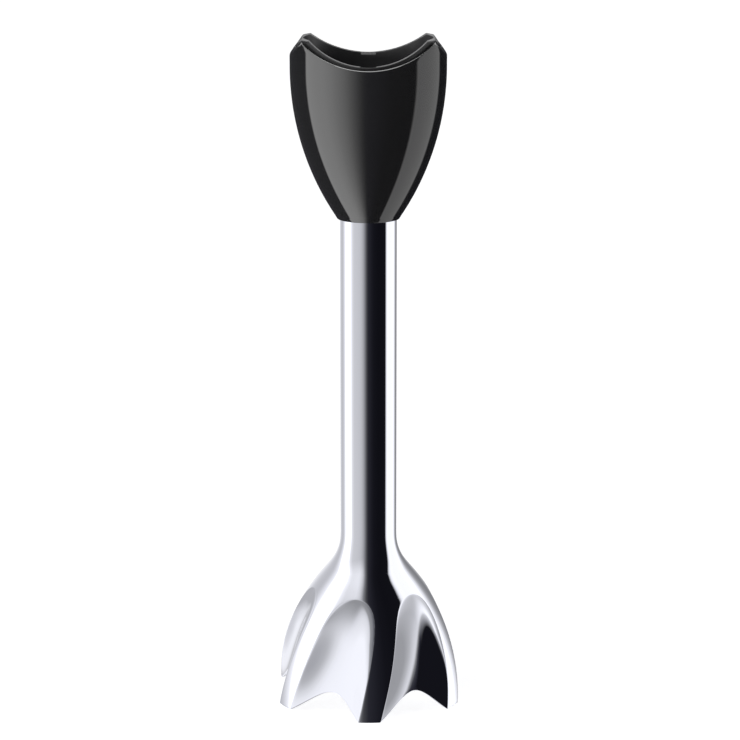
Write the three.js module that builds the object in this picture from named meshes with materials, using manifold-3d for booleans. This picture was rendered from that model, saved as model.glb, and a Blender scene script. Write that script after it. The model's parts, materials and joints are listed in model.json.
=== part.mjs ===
// Detachable blending shaft of an immersion blender: a polished steel tube that opens into a fluted
// bell, a glossy coupling that clicks onto the motor handle, and the drive line that turns the blade.
// Millimetres, +Z up. The origin is on the spin axis, in the plane of the bell's six feet.
import * as THREE from "three";
import { mergeVertices } from "three/addons/utils/BufferGeometryUtils.js";
import Module from "manifold-3d";

const wasm = await Module();
wasm.setup();

// ---- Driving dimensions ---------------------------------------------------------------------
const TUBE_R = 10;
const TUBE_TOP = 199.5;
const STEEL_WALL = 0.9;
const LOOSE = 0.3; // gap between pieces that touch on the real object
const RUNNING_GAP = 0.05; // radial clearance of the shaft in its two bushes

const FOOT_R = 34.85; // radius on a foot, at the rim
const DOME_R = 81.5; // meridian arc of the bell
const DOME_Z = -6.5; // height of that arc's centre, so the bell still flares a little at the rim
const NECK_R = 16.4; // hollow arc between the dome and the tube
const LOBES = 6;
const FLUTE_TOP = 40.4; // apex of each scoop
const FLUTE_DEPTH = 4.1; // depth of the middle of a scoop at the rim
const FLUTE_MID = -29.5; // azimuth of the scoop's middle at the rim, in degrees
const FLUTE_TWIST = 0.42; // degrees of twist for each millimetre of height
const FLUTE_HALF = 23.6; // half width of a scoop at the rim, in degrees
const SCALLOP = 8.1; // how far the rim arches up between two feet

const COUPLING_BOTTOM = 173.6;
const COUPLING_R = 27.15;
const COUPLING_ARC = 93.7; // meridian arc of the coupling
const COUPLING_WIDEST = 226.5; // height at which the coupling is widest
const COUPLING_TOP = 236.7; // top of the two ears
const SHELL_WALL = 2;
const SADDLE_LOW = 228.05; // lowest point of the cover's saddle-shaped edge
const SADDLE_ARC = 36.1;
const LIP_LOW = 229; // the same for the lip of the socket insert
const LIP_ARC = 30.1;
const EAR_CORNER = 22.7; // x where an ear's chamfer meets its flat top
const EAR_CHAMFER = { run: 4.3, drop: 4.9 };
const LIP_R = 24.65;
const SOCKET_R = 22.35;
const SOCKET_FLOOR = 203;
const NOTCH = { width: 5.8, drop: 0.8 }; // a bevel across the lip, down towards the socket

const SHAFT_R = 3;
const SPIGOT_R = 2.5; // the shaft's lower end, which carries the blade
const BLADE_Z = 11.5; // underside of the blade
const BLADE_THICKNESS = 1.5;
const BLADE_REACH = 23; // swept radius
const DOG_BOTTOM = 209.1;
const DOG_TOP = 224.5;
const DOG_TRAVEL = 2.5;
const DOG_R = 6.2;
const DOG_PIN = { z: 212, r: 1 };
const SCREW_CIRCLE = 13.6;
const SCREWS = 3;

// ---- Finishes -------------------------------------------------------------------------------
const finish = (color, roughness, metalness) => () =>
  new THREE.MeshStandardMaterial({ color, roughness, metalness });
const polishedSteel = finish(0xd9dbe0, 0.08, 1);
const plainSteel = finish(0xb4b7bc, 0.3, 1);
const glossBlack = finish(0x1c1c1d, 0.12, 0);
const satinBlack = finish(0x232324, 0.35, 0);
const greyPlastic = finish(0x6d7176, 0.5, 0);
const whitePlastic = finish(0xd8d6cf, 0.5, 0);
const bronze = finish(0xb08a4e, 0.4, 1);
const rubber = finish(0x2b2b2d, 0.8, 0);

// ---- Helpers --------------------------------------------------------------------------------
const radians = THREE.MathUtils.degToRad;

// Point at a radius, an azimuth in degrees from -Y towards +X, and a height.
function polar(r, azimuth, z) {
  const a = radians(azimuth);
  return [r * Math.sin(a), -r * Math.cos(a), z];
}

// Solid of revolution about Z. The outline is a list of [radius, height] that runs up the outside
// and down the inside, or from axis to axis.
function turned(outline, segments = 24) {
  const closed = outline[0][0] > 0;
  const points = outline.map(([r, z]) => new THREE.Vector2(r, z));
  if (closed) points.push(points[0].clone());
  return new THREE.LatheGeometry(points, segments).rotateX(Math.PI / 2);
}

// Plain ring, or a disc when the inner radius is 0.
function ring(inner, outer, low, high, segments = 24) {
  const outside = [[outer, low], [outer, high]];
  return inner
    ? turned([...outside, [inner, high], [inner, low]], segments)
    : turned([[0, low], ...outside, [0, high]], segments);
}

function seal(radius, cord, height) {
  return new THREE.TorusGeometry(radius, cord, 6, 28).translate(0, 0, height);
}

function block(sizeX, sizeY, sizeZ, x, y, z) {
  return new THREE.BoxGeometry(sizeX, sizeY, sizeZ).translate(x, y, z);
}

// Prism of a flat outline in X and Y between two heights.
function prism(outline, low, high) {
  const shape = new THREE.Shape(outline.map(([x, y]) => new THREE.Vector2(x, y)));
  const depth = high - low;
  return new THREE.ExtrudeGeometry(shape, { depth, bevelEnabled: false }).translate(0, 0, low);
}

function toSolid(geometry) {
  const bare = geometry.clone();
  bare.deleteAttribute("normal");
  bare.deleteAttribute("uv");
  const merged = mergeVertices(bare, 1e-4);
  return new wasm.Manifold(
    new wasm.Mesh({
      numProp: 3,
      vertProperties: new Float32Array(merged.attributes.position.array),
      triVerts: new Uint32Array(merged.index.array),
    }),
  );
}

function toGeometry(solid) {
  const mesh = solid.getMesh();
  const geometry = new THREE.BufferGeometry();
  geometry.setAttribute("position", new THREE.BufferAttribute(mesh.vertProperties, 3));
  geometry.setIndex(new THREE.BufferAttribute(mesh.triVerts, 1));
  return geometry;
}

function cut(geometry, ...tools) {
  return toGeometry(tools.reduce((body, tool) => body.subtract(toSolid(tool)), toSolid(geometry)));
}

function join(geometry, ...others) {
  return toGeometry(others.reduce((body, other) => body.add(toSolid(other)), toSolid(geometry)));
}

// Closed surface from rows of points that wrap round both ways, like a torus.
function wrappedGrid(rows) {
  const columns = rows[0].length;
  const index = [];
  rows.forEach((_, i) => {
    const here = i * columns;
    const above = ((i + 1) % rows.length) * columns;
    for (let j = 0; j < columns; j++) {
      const k = (j + 1) % columns;
      index.push(here + j, here + k, above + k, here + j, above + k, above + j);
    }
  });
  const geometry = new THREE.BufferGeometry();
  geometry.setAttribute("position", new THREE.Float32BufferAttribute(rows.flat(2), 3));
  geometry.setIndex(index);
  return geometry;
}

// ---- Tube and bell --------------------------------------------------------------------------
// The meridian is the dome's arc, the neck's hollow arc tangent to it, and the straight tube.
const DOME_CENTRE_R = FOOT_R - Math.sqrt(DOME_R ** 2 - DOME_Z ** 2);
const NECK_CENTRE_R = TUBE_R + NECK_R;
const CENTRES_RISE = Math.sqrt((DOME_R + NECK_R) ** 2 - (NECK_CENTRE_R - DOME_CENTRE_R) ** 2);
const NECK_TOP = DOME_Z + CENTRES_RISE;
const DOME_TOP = DOME_Z + (CENTRES_RISE * DOME_R) / (DOME_R + NECK_R);

function meridian(z) {
  if (z >= NECK_TOP) return TUBE_R;
  if (z >= DOME_TOP) return NECK_CENTRE_R - Math.sqrt(NECK_R ** 2 - (NECK_TOP - z) ** 2);
  return DOME_CENTRE_R + Math.sqrt(DOME_R ** 2 - (z - DOME_Z) ** 2);
}

function wallAcross(z) {
  const step = 0.1;
  const slope = (meridian(z + step) - meridian(z)) / step;
  return STEEL_WALL * Math.hypot(1, slope);
}

const fluteMid = (z) => FLUTE_MID + FLUTE_TWIST * Math.min(z, FLUTE_TOP);

// Half width of a scoop in degrees: it narrows a little on the way up, then closes in an arch.
function fluteHalf(z) {
  const taper = 1 - 0.19 * (z / FLUTE_TOP);
  const arch = 1 - (z / FLUTE_TOP) ** 11;
  return FLUTE_HALF * Math.sqrt(Math.max(taper * arch, 0));
}

// Depth below the dome, from a scoop's edge (across = -1 or 1) to its middle (0). The side with the
// larger azimuth eases into its edge; the other one meets it at an angle.
function fluteDepth(z, across) {
  const t = z / FLUTE_TOP;
  if (t >= 1) return 0;
  const middle = (1 - t ** 8) * (FLUTE_DEPTH + 8 * t - 20.3 * t ** 2 + 9.7 * t ** 3);
  const hollow = 1 - Math.abs(across) ** (2.4 - 0.4 * Math.min(2 * t, 1));
  const easing = THREE.MathUtils.clamp((t - 0.15) / 0.5, 0, 1) ** 1.5 * Math.max(across, 0);
  return middle * hollow ** (1 + 0.9 * easing);
}

const FLUTE_STEPS = 8;
const LAND_STEPS = 2;
const ABOVE_APEX = [[0, 4], [1.2, 12], [2.8, 20], [5.2, 26]]; // height above, half width of the columns
const NARROWEST = 4;

// One level of the bell. Its columns follow the edges of the scoops. "lift" is 1 at the rim, where
// the row follows the scallops, and 0 from the level at which it runs flat.
function bellLevel(z, lift, half, inward) {
  const level = [];
  for (let lobe = 0; lobe < LOBES; lobe++) {
    const mid = fluteMid(z) + (360 / LOBES) * lobe;
    for (let i = 0; i < FLUTE_STEPS; i++) {
      const across = (2 * i) / FLUTE_STEPS - 1;
      const height = z + lift * SCALLOP * Math.cos((Math.PI / 2) * across) ** 1.05;
      const depth = fluteDepth(height, across);
      const wall = inward ? wallAcross(height) : 0;
      level.push(polar(meridian(height) - depth - wall, mid + half * across, height));
    }
    const land = 360 / LOBES - 2 * half;
    for (let i = 0; i < LAND_STEPS; i++) {
      const wall = inward ? wallAcross(z) : 0;
      level.push(polar(meridian(z) - wall, mid + half + (land * i) / LAND_STEPS, z));
    }
  }
  return level;
}

function tubeAndBell() {
  const SCOOP_LEVELS = [0, 6, 14, 22, 30];
  const ARCH_LEVELS = [34.6, 37.9, 39.7];
  const NECK_LEVELS = [DOME_TOP, 51, 54.5, NECK_TOP];
  const levels = [
    ...SCOOP_LEVELS.map((z) => [z, 1 - z / SCOOP_LEVELS.at(-1), fluteHalf(z)]),
    ...ARCH_LEVELS.map((z) => [z, 0, Math.max(fluteHalf(z), NARROWEST)]),
    ...ABOVE_APEX.map(([above, half]) => [FLUTE_TOP + above, 0, half]),
    ...[...NECK_LEVELS, TUBE_TOP].map((z) => [z, 0, ABOVE_APEX.at(-1)[1]]),
  ];
  const outside = levels.map(([z, lift, half]) => bellLevel(z, lift, half, false));
  const inside = levels.map(([z, lift, half]) => bellLevel(z, lift, half, true));
  return wrappedGrid([...outside, ...inside.reverse()]);
}

// ---- Coupling -------------------------------------------------------------------------------
// Outer radius of the coupling at a height: one arc up to the widest point, straight above it.
function couplingRadius(z) {
  const below = Math.max(COUPLING_WIDEST - z, 0);
  return COUPLING_R - COUPLING_ARC + Math.sqrt(COUPLING_ARC ** 2 - below ** 2);
}

function shellInside(z) {
  const below = Math.max(COUPLING_WIDEST - z, 0);
  return couplingRadius(z) - (SHELL_WALL * COUPLING_ARC) / Math.sqrt(COUPLING_ARC ** 2 - below ** 2);
}

// Block that removes everything above a saddle: an arc about Y that ends in the ears' flat tops
// and chamfers.
function aboveSaddle(low, arc) {
  const REACH = 40;
  const STEPS = 11;
  const rise = COUPLING_TOP - low;
  const edge = Math.sqrt(2 * arc * rise - rise ** 2);
  const flat = edge < EAR_CORNER;
  const end = flat ? Math.asin(edge / arc) : Math.asin(EAR_CORNER / arc);
  const below = (REACH - EAR_CORNER) * (EAR_CHAMFER.drop / EAR_CHAMFER.run);
  const half = [];
  for (let i = 0; i <= STEPS; i++) {
    const a = (end * i) / STEPS;
    half.push([arc * Math.sin(a), low + arc * (1 - Math.cos(a))]);
  }
  if (flat) half.push([EAR_CORNER, COUPLING_TOP]);
  half.push([REACH, half.at(-1)[1] - below]);
  const mirrored = half.slice(1).reverse().map(([x, z]) => [-x, z]);
  const outline = [...mirrored, ...half, [REACH, COUPLING_TOP + REACH], [-REACH, COUPLING_TOP + REACH]];
  return prism(outline, -REACH, REACH).rotateX(Math.PI / 2);
}

function couplingShell() {
  const STEPS = 9;
  const COLLAR_TOP = 182;
  const bore = TUBE_R + 0.4;
  const inner = [];
  const outer = [[bore, COUPLING_BOTTOM], [10.8, COUPLING_BOTTOM], [couplingRadius(174.3) - 0.1, 174.1]];
  for (let i = 0; i <= STEPS; i++) {
    const z = THREE.MathUtils.lerp(174.7, COUPLING_WIDEST, i / STEPS);
    outer.push([couplingRadius(z), z]);
  }
  outer.push([COUPLING_R, COUPLING_TOP + 1]);
  for (let i = 0; i <= STEPS; i++) {
    const z = THREE.MathUtils.lerp(COLLAR_TOP, COUPLING_WIDEST, i / STEPS);
    inner.unshift([shellInside(z), z]);
  }
  inner.unshift([shellInside(COUPLING_TOP), COUPLING_TOP + 1]);
  const sealGroove = [[bore, COLLAR_TOP], [bore, 180.1], [12.3, 180.1], [12.3, 177.7], [bore, 177.7]];
  return cut(turned([...outer, ...inner, ...sealGroove], 44), aboveSaddle(SADDLE_LOW, SADDLE_ARC));
}

function socketLiner() {
  const STEPS = 6;
  const UNDER = 194.3;
  const OUTER_LOW = 200;
  const outer = [[10.4, UNDER], [16.6, UNDER], [16.6, 197]];
  for (let i = 0; i <= STEPS; i++) {
    const z = THREE.MathUtils.lerp(OUTER_LOW, 221, i / STEPS);
    outer.push([Math.min(shellInside(z) - 0.4, LIP_R), z]);
  }
  outer.push([LIP_R, COUPLING_TOP + 1]);
  const inner = [
    [SOCKET_R, COUPLING_TOP + 1],
    [SOCKET_R, 216],
    [19.9, 212],
    [19.6, SOCKET_FLOOR],
    [6.8, SOCKET_FLOOR],
    [6.8, 200.6],
    [10.4, 200.6],
  ];
  const pilots = screwPlaces().map(([x, y]) => ring(0, 1.6, UNDER - 1, 200.5, 12).translate(x, y, 0));
  const REACH = 3;
  const slope = NOTCH.drop / (LIP_R - SOCKET_R);
  const wedge = [
    [SOCKET_R - REACH, LIP_LOW - NOTCH.drop - slope * REACH],
    [LIP_R, LIP_LOW],
    [LIP_R, LIP_LOW + REACH],
    [SOCKET_R - REACH, LIP_LOW + REACH],
  ];
  const notches = [0, Math.PI].map((turn) =>
    prism(wedge, -NOTCH.width / 2, NOTCH.width / 2).rotateX(Math.PI / 2).rotateZ(Math.PI / 2 + turn),
  );
  const catches = [-1, 1].map((side) => block(3, 8, 6, side * (SOCKET_R + 0.2), 0, 222));
  return cut(
    turned([...outer, ...inner], 40),
    aboveSaddle(LIP_LOW, LIP_ARC),
    ...pilots,
    ...notches,
    ...catches,
  );
}

// ---- What holds the coupling on the tube ------------------------------------------------------
function screwPlaces() {
  return Array.from({ length: SCREWS }, (_, i) => polar(SCREW_CIRCLE, 60 + (360 / SCREWS) * i, 0));
}

function tubeFlange() {
  const holes = screwPlaces().map(([x, y]) => ring(0, 1.7, 191, 195, 12).translate(x, y, 0));
  return cut(ring(TUBE_R + 0.4, 17, 192, 194, 32), ...holes);
}

function flangeScrew() {
  const HEAD = { r: 2.5, low: 189.7, high: 191.7 };
  const THREAD = { r: 1.3, high: 199.5 };
  const body = turned(
    [[0, HEAD.low], [HEAD.r - 0.5, HEAD.low], [HEAD.r, HEAD.low + 0.5], [HEAD.r, HEAD.high],
      [THREAD.r, HEAD.high], [THREAD.r, THREAD.high - 1], [0, THREAD.high]],
    16,
  );
  const slot = (turn) => block(2.6, 0.7, 2, 0, 0, HEAD.low).rotateZ(turn);
  return cut(body, slot(0), slot(Math.PI / 2));
}

// ---- Bearings and seals -----------------------------------------------------------------------
const BUSH_STEPS = 24;
const BUSH_BORE = (SHAFT_R + RUNNING_GAP) / Math.cos(Math.PI / BUSH_STEPS);
const CORE_R = TUBE_R - STEEL_WALL - LOOSE; // pieces that fill the tube

const upperCarrier = () =>
  turned([
    [3.7, 182], [CORE_R, 182], [CORE_R, 199.2], [5.9, 199.2], [5.9, 186], [3.7, 186],
  ]);

const upperBush = () => ring(BUSH_BORE, 5.5, 186.4, 198.9, BUSH_STEPS);

const innerSleeve = () => ring(5, 6.5, 74.6, 181.6, 24);

function bellHub() {
  const GROOVE = { low: 64.8, high: 67.2, r: 7.2 };
  return turned([
    [7.9, 23.9], [8.7, 24.7], [9.5, 44], [9.5, 49], [CORE_R, 51.5],
    [CORE_R, GROOVE.low], [GROOVE.r, GROOVE.low], [GROOVE.r, GROOVE.high], [CORE_R, GROOVE.high],
    [CORE_R, 74.2], [3.7, 74.2], [3.7, 42.6], [6.1, 42.6], [6.1, 28.2], [6.7, 28.2], [6.7, 23.9],
  ]);
}

const lowerBush = () => ring(BUSH_BORE, 5.8, 28.5, 42.2, BUSH_STEPS);

const shaftSeal = () =>
  turned([
    [3.9, 24.2], [6.3, 24.2], [6.3, 27.9], [3.2, 27.9], [3.2, 27.1], [4.6, 26.6],
  ]);

const sealRetainer = () =>
  turned([
    [4, 20.9], [8.2, 20.9], [9.2, 21.9], [9.6, 27.5], [9.15, 27.5], [8.6, 23.5], [7.4, 22.9], [4, 22.9],
  ]);

// ---- Drive line -------------------------------------------------------------------------------
const CLIP_GROOVE = { low: 200.1, high: 201.5, r: 2.3 };
const SHAFT_TOP = 216;
const FLAT_BLADE_TOP = BLADE_Z + BLADE_THICKNESS;

function driveShaft() {
  const SHAFT_LOW = 7.8;
  const SHOULDER = FLAT_BLADE_TOP + LOOSE;
  const rod = turned(
    [
      [0, SHAFT_LOW], [SPIGOT_R - 0.5, SHAFT_LOW], [SPIGOT_R, SHAFT_LOW + 0.5], [SPIGOT_R, SHOULDER],
      [SHAFT_R, SHOULDER], [SHAFT_R, CLIP_GROOVE.low], [CLIP_GROOVE.r, CLIP_GROOVE.low],
      [CLIP_GROOVE.r, CLIP_GROOVE.high], [SHAFT_R, CLIP_GROOVE.high], [SHAFT_R, SHAFT_TOP - 0.5],
      [SHAFT_R - 0.5, SHAFT_TOP], [0, SHAFT_TOP],
    ],
    BUSH_STEPS,
  );
  const pinHole = ring(0, DOG_PIN.r + LOOSE, -6, 6, 16).rotateX(Math.PI / 2).translate(0, 0, DOG_PIN.z);
  return cut(rod, pinHole);
}

// Two wings that sweep back in an S. The cutting edge is ground thin, and the tips dip.
function blade() {
  const STATIONS = 6;
  const HUB_R = 5.6;
  const sections = [];
  for (let i = 0; i <= STATIONS; i++) {
    const t = i / STATIONS;
    const along = THREE.MathUtils.lerp(HUB_R - 1.2, BLADE_REACH - 1, t);
    const sweep = -4.5 * t ** 2;
    const half = THREE.MathUtils.lerp(4.6, 2.6, t);
    const dip = -2 * Math.max(t - 0.45, 0) ** 1.5;
    const low = BLADE_Z + dip;
    const high = low + BLADE_THICKNESS;
    sections.push([
      [along, sweep - half, low],
      [along, sweep + half, low],
      [along, sweep + half, high],
      [along, sweep - half * 0.45, high],
      [along, sweep - half, low + 0.35],
    ]);
  }
  const wing = lofted(sections);
  const disc = ring(0, HUB_R, BLADE_Z, FLAT_BLADE_TOP);
  const bore = ring(0, SPIGOT_R + LOOSE, BLADE_Z - 2, FLAT_BLADE_TOP + 2, 24);
  return cut(join(disc, wing, wing.clone().rotateZ(Math.PI)), bore);
}

// Solid through a row of sections with the same number of points, with flat ends.
function lofted(sections) {
  const count = sections[0].length;
  const last = (sections.length - 1) * count;
  const index = [];
  for (let s = 0; s < sections.length - 1; s++) {
    for (let j = 0; j < count; j++) {
      const a = s * count + j;
      const b = s * count + ((j + 1) % count);
      index.push(a, b, b + count, a, b + count, a + count);
    }
  }
  for (let j = 1; j < count - 1; j++) {
    index.push(0, j + 1, j);
    index.push(last, last + j, last + j + 1);
  }
  const geometry = new THREE.BufferGeometry();
  geometry.setAttribute("position", new THREE.Float32BufferAttribute(sections.flat(2), 3));
  geometry.setIndex(index);
  return geometry;
}

const bladeCollar = () =>
  turned([
    [SHAFT_R + LOOSE, 13.4], [5.4, 13.4], [5.4, 16.6], [4.6, 18.9], [SHAFT_R + LOOSE, 18.9],
  ]);

function bladeNut() {
  const hexagon = turned([[0, 8.2], [3.9, 8.2], [4.9, 9.1], [4.9, 11.2], [0, 11.2]], 6);
  return cut(hexagon, ring(0, SPIGOT_R + LOOSE, 7, 12, 24));
}

const lowerWasher = () => ring(SHAFT_R + LOOSE, 5.8, 19.3, 20.4);
const upperWasher = () => ring(SHAFT_R + LOOSE, 5.4, 199.25, 199.85);

function retainingClip() {
  const MOUTH = 4;
  const MIDDLE = (CLIP_GROOVE.low + CLIP_GROOVE.high) / 2;
  const disc = ring(CLIP_GROOVE.r + LOOSE, 5.2, MIDDLE - 0.4, MIDDLE + 0.4);
  return cut(disc, block(MOUTH, 6, 2, 0, -4, MIDDLE));
}

const springSeat = () => ring(SHAFT_R + LOOSE, 6.2, 201.9, 202.7);

const dogPin = () =>
  ring(0, DOG_PIN.r, -(DOG_R - 0.6), DOG_R - 0.6, 12).rotateX(Math.PI / 2).translate(0, 0, DOG_PIN.z);

// Helix of the spring under the dog, as one coil with flat-cut ends.
class Helix extends THREE.Curve {
  constructor(radius, low, high, turns) {
    super();
    Object.assign(this, { radius, low, high, turns });
  }
  getPoint(t, target = new THREE.Vector3()) {
    const a = 2 * Math.PI * this.turns * t;
    const z = THREE.MathUtils.lerp(this.low, this.high, t);
    return target.set(this.radius * Math.cos(a), this.radius * Math.sin(a), z);
  }
}

function dogSpring() {
  const WIRE_R = 0.4;
  const WIRE_SIDES = 6;
  const TURNS = 4;
  const section = new THREE.Shape(
    Array.from({ length: WIRE_SIDES }, (_, i) => {
      const a = (2 * Math.PI * i) / WIRE_SIDES;
      return new THREE.Vector2(WIRE_R * Math.cos(a), WIRE_R * Math.sin(a));
    }),
  );
  const extrudePath = new Helix(4.9, 203.6, DOG_BOTTOM - 0.8, TURNS);
  return new THREE.ExtrudeGeometry(section, { steps: 12 * TURNS, bevelEnabled: false, extrudePath });
}

// Six-lobed driving star on a round collar. The cross pin runs in two slots, so the dog can dip.
function driveDog() {
  const COLLAR_TOP = 217.5;
  const STAR = { mean: 4.5, swing: 0.55, lobes: 6, steps: 48 };
  const BORE_R = SHAFT_R + 0.1;
  const BORE_TOP = SHAFT_TOP + DOG_TRAVEL + 1;
  const collar = turned(
    [[0, DOG_BOTTOM], [DOG_R, DOG_BOTTOM], [DOG_R, COLLAR_TOP - 0.6], [DOG_R - 0.6, COLLAR_TOP], [0, COLLAR_TOP]],
    36,
  );
  const outline = Array.from({ length: STAR.steps }, (_, i) => {
    const a = (2 * Math.PI * i) / STAR.steps;
    const r = STAR.mean + STAR.swing * Math.cos(STAR.lobes * a);
    return [r * Math.cos(a), r * Math.sin(a)];
  });
  const star = prism(outline, COLLAR_TOP - 2, DOG_TOP);
  const bore = ring(0, BORE_R / Math.cos(Math.PI / BUSH_STEPS), DOG_BOTTOM - 1, BORE_TOP, BUSH_STEPS);
  const slotLow = DOG_PIN.z - DOG_PIN.r - LOOSE;
  const slotHigh = DOG_PIN.z + DOG_PIN.r + DOG_TRAVEL + LOOSE;
  const slot = block(2 * (DOG_PIN.r + 0.15), 3 * DOG_R, slotHigh - slotLow, 0, 0, (slotLow + slotHigh) / 2);
  return cut(join(collar, star), bore, slot);
}

// ---- Assembly ---------------------------------------------------------------------------------
const assembly = new THREE.Group();

function place(group, name, geometry, material) {
  const mesh = new THREE.Mesh(geometry, material());
  mesh.name = name;
  group.add(mesh);
  return mesh;
}

const housing = new THREE.Group();
place(housing, "coupling_shell", couplingShell(), glossBlack);
place(housing, "socket_liner", socketLiner(), satinBlack);
place(housing, "tube_and_bell", tubeAndBell(), polishedSteel);
place(housing, "tube_flange", tubeFlange(), plainSteel);
screwPlaces().forEach(([x, y], i) => {
  place(housing, `flange_screw_${i + 1}`, flangeScrew(), plainSteel).position.set(x, y, 0);
});
place(housing, "coupling_seal", seal(11.2, 0.75, 178.9), rubber);
place(housing, "upper_bearing_carrier", upperCarrier(), whitePlastic);
place(housing, "upper_bush", upperBush(), bronze);
place(housing, "inner_sleeve", innerSleeve(), whitePlastic);
place(housing, "bell_hub", bellHub(), greyPlastic);
place(housing, "hub_seal_ring", seal(8.25, 0.7, 66), rubber);
place(housing, "lower_bush", lowerBush(), bronze);
place(housing, "shaft_seal", shaftSeal(), rubber);
place(housing, "seal_retainer", sealRetainer(), plainSteel);

const driveLine = new THREE.Group();
place(driveLine, "drive_shaft", driveShaft(), plainSteel);
place(driveLine, "blade", blade(), polishedSteel);
place(driveLine, "blade_collar", bladeCollar(), plainSteel);
place(driveLine, "blade_nut", bladeNut(), polishedSteel);
place(driveLine, "lower_thrust_washer", lowerWasher(), whitePlastic);
place(driveLine, "upper_thrust_washer", upperWasher(), whitePlastic);
place(driveLine, "retaining_clip", retainingClip(), plainSteel);
place(driveLine, "spring_seat", springSeat(), plainSteel);
place(driveLine, "dog_pin", dogPin(), plainSteel);
place(driveLine, "dog_spring", dogSpring(), plainSteel);

const dog = new THREE.Group();
place(dog, "drive_dog", driveDog(), greyPlastic);

assembly.add(housing, driveLine, dog);
export default assembly;
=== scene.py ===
"""Looks of a detachable blending shaft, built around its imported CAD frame. Metres, +Z up."""

import json
import math

import bmesh
import bpy
import numpy as np
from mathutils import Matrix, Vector


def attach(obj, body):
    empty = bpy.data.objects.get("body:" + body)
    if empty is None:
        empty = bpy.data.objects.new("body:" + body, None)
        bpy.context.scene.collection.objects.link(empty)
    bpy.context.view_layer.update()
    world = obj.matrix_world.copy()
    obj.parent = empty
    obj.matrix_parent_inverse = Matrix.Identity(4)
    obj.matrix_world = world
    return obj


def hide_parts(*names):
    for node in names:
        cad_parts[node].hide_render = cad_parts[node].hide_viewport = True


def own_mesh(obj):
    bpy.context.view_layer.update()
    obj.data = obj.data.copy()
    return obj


MM = 0.001
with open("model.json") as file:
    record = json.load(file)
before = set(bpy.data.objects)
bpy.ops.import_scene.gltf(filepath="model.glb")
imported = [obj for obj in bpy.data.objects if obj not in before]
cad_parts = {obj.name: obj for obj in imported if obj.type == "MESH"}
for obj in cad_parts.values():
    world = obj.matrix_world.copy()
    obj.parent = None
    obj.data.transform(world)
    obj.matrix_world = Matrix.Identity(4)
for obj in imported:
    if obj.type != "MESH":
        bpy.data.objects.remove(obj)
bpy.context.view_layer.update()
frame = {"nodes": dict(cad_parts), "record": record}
NODES = frame["nodes"]

# ---- Sizes shared with the CAD, in millimetres ------------------------------------------------
TUBE_R, TUBE_TOP, STEEL_WALL = 10.0, 199.5, 0.9
FOOT_R, DOME_R, DOME_Z, NECK_R = 34.85, 81.5, -6.5, 16.4
BLEND_LOW, BLEND_HEIGHT, BLEND_REACH = 36, 6, 2.6
LOBES = 6
FLUTE_TOP = 40.4
FLUTE_MID, FLUTE_TWIST, FLUTE_HALF = -29.5, 0.42, 23.6
FLUTE_DEPTH = 4.1
SCALLOP = 8.1
COUPLING_BOTTOM, COUPLING_WIDEST, COUPLING_TOP = 173.6, 226.5, 236.7
COUPLING_R, COUPLING_ARC, SHELL_WALL = 27.15, 93.7, 2.0
SEAL_GROOVE_R, SEAL_GROOVE_LOW, SEAL_GROOVE_TOP, COLLAR_TOP = 12.3, 177.7, 180.1, 182
SADDLE_LOW, SADDLE_ARC = 228.05, 36.1
LIP_LOW, LIP_ARC = 229.0, 30.1
EAR_CORNER, EAR_SLOPE = 22.7, 4.9 / 4.3
LIP_R, SOCKET_R, SOCKET_FLOOR = 24.65, 22.35, 203.0
LINER_UNDER, LINER_NECK_R, LINER_HUB_R, LINER_LEDGE = 194.3, 10.4, 6.8, 200.6
NOTCH_WIDTH, NOTCH_DEPTH = 5.8, 0.8
CATCH, CATCH_DEPTH, CATCH_Z = (3, 8, 6), 0.2, 222
DOG_BOTTOM, DOG_COLLAR_TOP, DOG_TOP = 209.1, 217.5, 224.5
DOG_R, DOG_BORE_R, DOG_BORE_TOP = 6.2, 3.1, 219.5
STAR_R, STAR_SWING, STAR_LOBES = 4.5, 0.55, 6
DOG_SLOT, DOG_SLOT_Z = (2.3, 18.6, 5.1), 213.25
SPRING_R, SPRING_LOW, SPRING_HIGH, SPRING_TURNS, WIRE_R = 4.9, 203.6, 208.3, 4, 0.4


# ---- Camera, surroundings and lights -----------------------------------------------------------
def make_camera():
    data = bpy.data.cameras.new("camera")
    data.sensor_width, data.lens = 36.0, 134.391892
    data.clip_start, data.clip_end = 0.01, 50
    cam = bpy.data.objects.new("camera", data)
    bpy.context.scene.collection.objects.link(cam)
    cam.location = (0.00058, -0.95152, 0.33864)
    cam.rotation_euler = (math.radians(90 - 12.989), 0, 0)
    bpy.context.scene.camera = cam


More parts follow.
